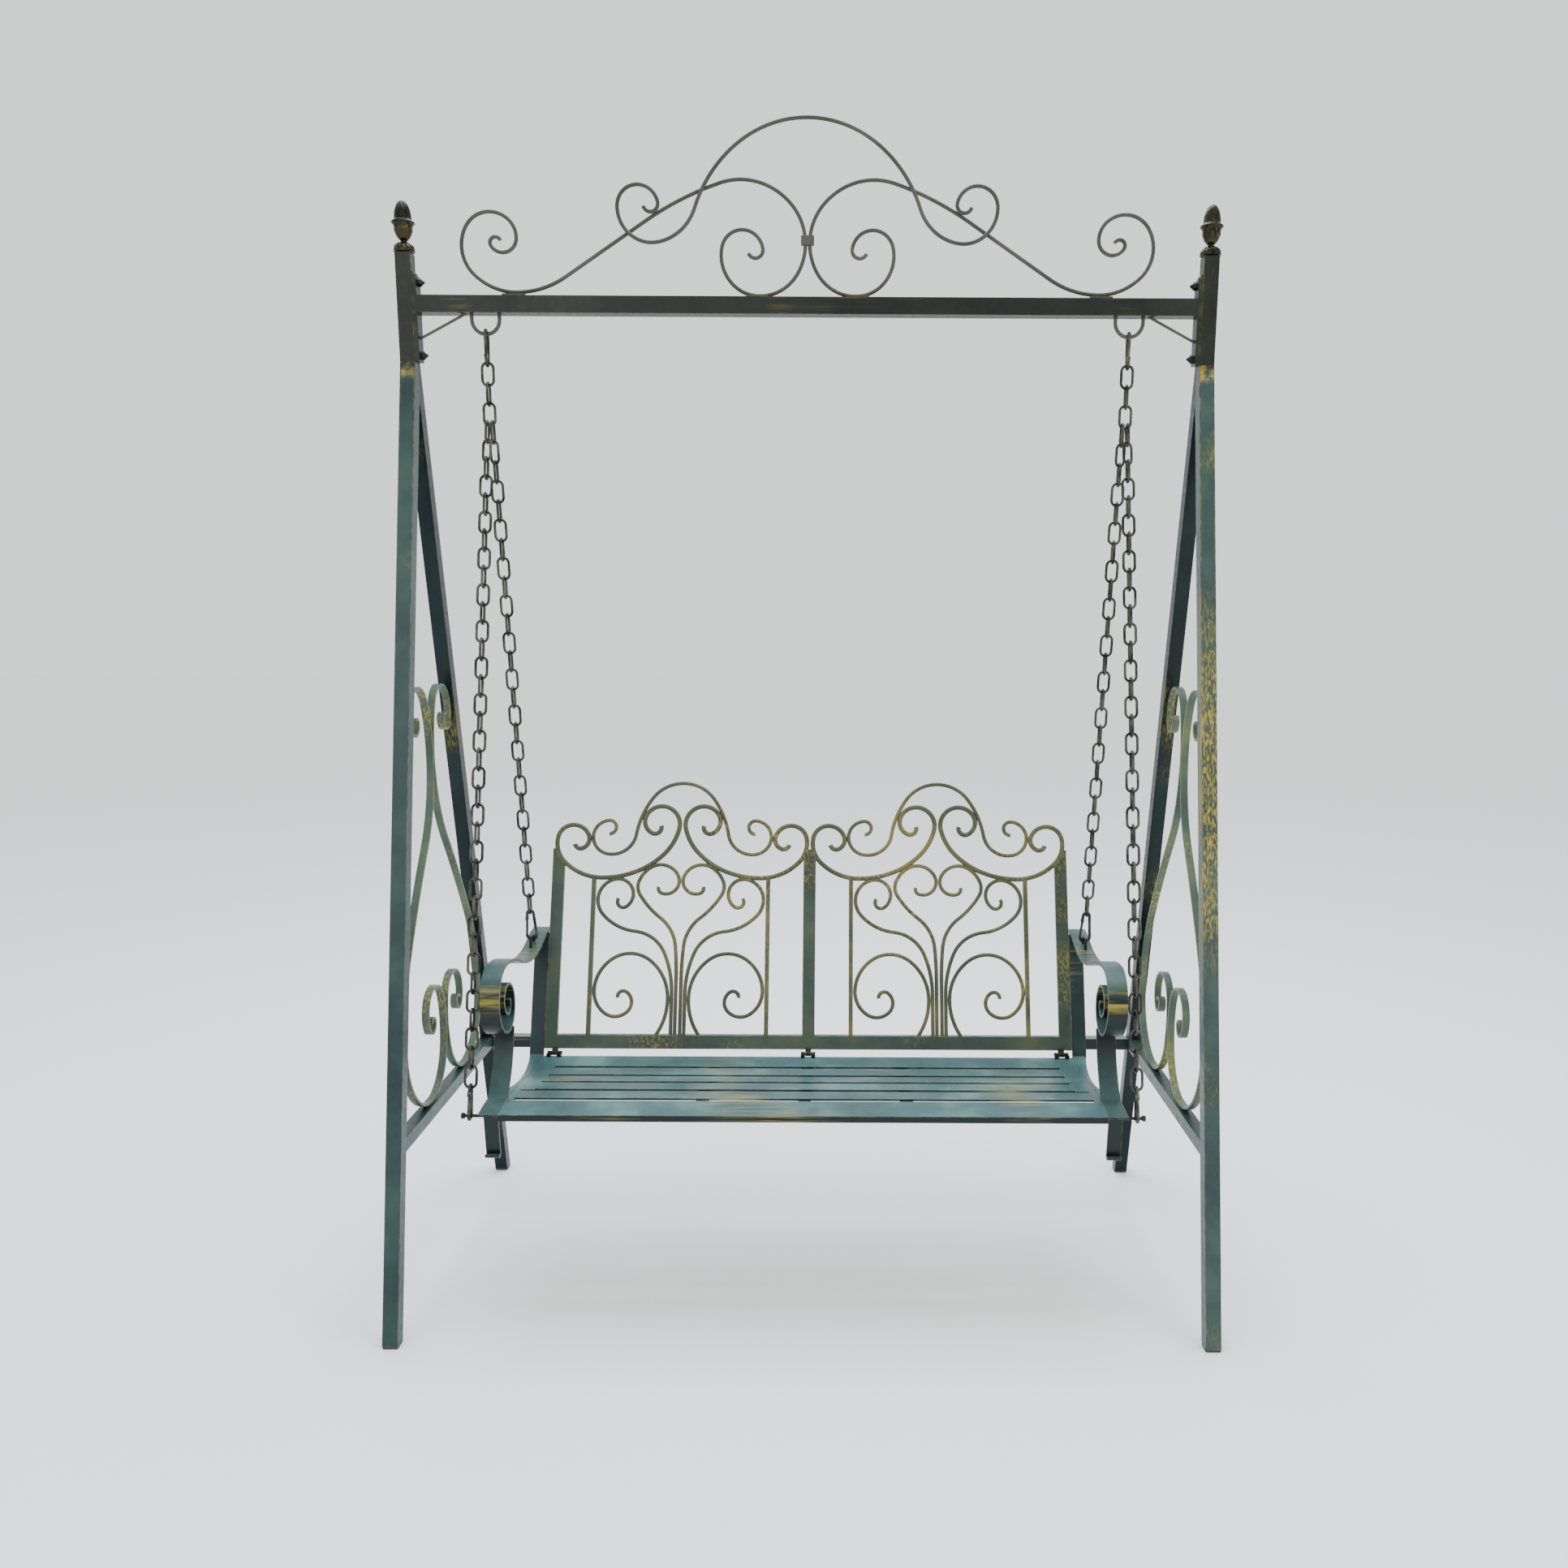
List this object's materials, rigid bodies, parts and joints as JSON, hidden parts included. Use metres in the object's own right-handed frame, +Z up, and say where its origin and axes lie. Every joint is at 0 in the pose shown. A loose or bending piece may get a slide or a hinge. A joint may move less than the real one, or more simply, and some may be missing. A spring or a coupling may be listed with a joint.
{
  "type": "porch swing",
  "caption": "Free-standing metal garden swing: two-seat bench with scrollwork back hung on chains from an A-frame stand with a scrolled crest.",
  "frame": {"origin": "on the floor under the middle of the stand", "axes": "+X along the beam, to the right for someone facing the front of the seat; +Y from the front to the rear; +Z up. The seat faces -Y"},
  "size_m": [1.513, 0.7964, 2.1745],
  "materials": {
    "painted_steel": "antique teal paint with rubbed brass-coloured patches, satin",
    "dark_painted_steel": "darker grey-green antique paint, satin",
    "cast_finial": "antique brass paint over casting",
    "chain_steel": "dull grey-bronze plating",
    "bolt_steel": "painted over with the frame",
    "cap_plastic": "black moulded plastic"
  },
  "bodies": {
    "stand": {"leg_front_left": "painted_steel", "leg_front_right": "painted_steel", "leg_rear_left": "painted_steel", "leg_rear_right": "painted_steel", "foot_caps": "cap_plastic", "side_bar_left": "painted_steel", "side_bar_right": "painted_steel", "rear_bar": "painted_steel", "post_left": "painted_steel", "post_right": "painted_steel", "finial_left": "cast_finial", "finial_right": "cast_finial", "post_plates": "dark_painted_steel", "beam_plates": "dark_painted_steel", "frame_bolts": "bolt_steel", "beam": "dark_painted_steel", "braces": "dark_painted_steel", "hangers": "dark_painted_steel", "crest_arch": "dark_painted_steel", "crest_scroll_left": "dark_painted_steel", "crest_scroll_right": "dark_painted_steel", "crest_welds": "dark_painted_steel", "side_scroll_left": "painted_steel", "side_scroll_right": "painted_steel"},
    "swing_links": {"top_hook_left": "chain_steel", "top_hook_right": "chain_steel", "top_links_left": "chain_steel", "top_links_right": "chain_steel"},
    "seat": {"seat_frame": "painted_steel", "seat_slats": "painted_steel", "seat_straps": "painted_steel", "armrest_left": "painted_steel", "armrest_right": "painted_steel", "arm_support_left": "painted_steel", "arm_support_right": "painted_steel", "seat_side_bar_left": "painted_steel", "seat_side_bar_right": "painted_steel", "chain_anchors": "painted_steel", "chain_front_left": "chain_steel", "chain_front_right": "chain_steel", "chain_rear_left": "chain_steel", "chain_rear_right": "chain_steel", "hook_front_left": "chain_steel", "hook_front_right": "chain_steel", "hook_rear_left": "chain_steel", "hook_rear_right": "chain_steel", "seat_hinges": "painted_steel"},
    "back": {"back_rails": "painted_steel", "back_frame": "painted_steel", "back_arches": "painted_steel", "panel_scrolls_left": "painted_steel", "panel_scrolls_right": "painted_steel", "panel_bars": "painted_steel", "back_hinges": "painted_steel"},
    "top_gate_left": {"top_gate_left": "chain_steel"},
    "top_gate_right": {"top_gate_right": "chain_steel"},
    "gate_front_left": {"gate_front_left": "chain_steel"},
    "gate_front_right": {"gate_front_right": "chain_steel"},
    "gate_rear_left": {"gate_rear_left": "chain_steel"},
    "gate_rear_right": {"gate_rear_right": "chain_steel"}
  },
  "joints": [
    {"name": "swing", "type": "hinge", "parent": "stand", "child": "swing_links", "pos_m": [0, 0, 1.801], "axis": [1, 0, 0], "range_deg": [-25, 18]},
    {"name": "seat_rock", "type": "hinge", "parent": "swing_links", "child": "seat", "pos_m": [0, 0, 1.6396], "axis": [1, 0, 0], "range_deg": [-4, 4]},
    {"name": "back_fold", "type": "hinge", "parent": "seat", "child": "back", "pos_m": [0, 0.06, 0.3975], "axis": [1, 0, 0], "range_deg": [0, 100]},
    {"name": "top_gate_left_spring", "type": "hinge", "parent": "swing_links", "child": "top_gate_left", "pos_m": [-0.592, -0.00739, 1.7635], "axis": [-1, 0, 0], "range_deg": [0, 22], "stiffness_Nm_per_rad": 0.02},
    {"name": "top_gate_right_spring", "type": "hinge", "parent": "swing_links", "child": "top_gate_right", "pos_m": [0.592, -0.00739, 1.7635], "axis": [-1, 0, 0], "range_deg": [0, 22], "stiffness_Nm_per_rad": 0.02},
    {"name": "gate_front_left_spring", "type": "hinge", "parent": "seat", "child": "gate_front_left", "pos_m": [-0.60573, -0.28483, 0.43451], "axis": [1, -0.0016, -0.0071], "range_deg": [0, 22], "stiffness_Nm_per_rad": 0.02},
    {"name": "gate_front_right_spring", "type": "hinge", "parent": "seat", "child": "gate_front_right", "pos_m": [0.60573, -0.28483, 0.43451], "axis": [1, 0.0016, 0.0071], "range_deg": [0, 22], "stiffness_Nm_per_rad": 0.02},
    {"name": "gate_rear_left_spring", "type": "hinge", "parent": "seat", "child": "gate_rear_left", "pos_m": [-0.58, 0.08472, 0.67724], "axis": [0, -0.9961, -0.0877], "range_deg": [0, 22], "stiffness_Nm_per_rad": 0.02},
    {"name": "gate_rear_right_spring", "type": "hinge", "parent": "seat", "child": "gate_rear_right", "pos_m": [0.56515, 0.0847, 0.67746], "axis": [0, -0.9961, -0.0877], "range_deg": [0, 22], "stiffness_Nm_per_rad": 0.02}
  ]
}
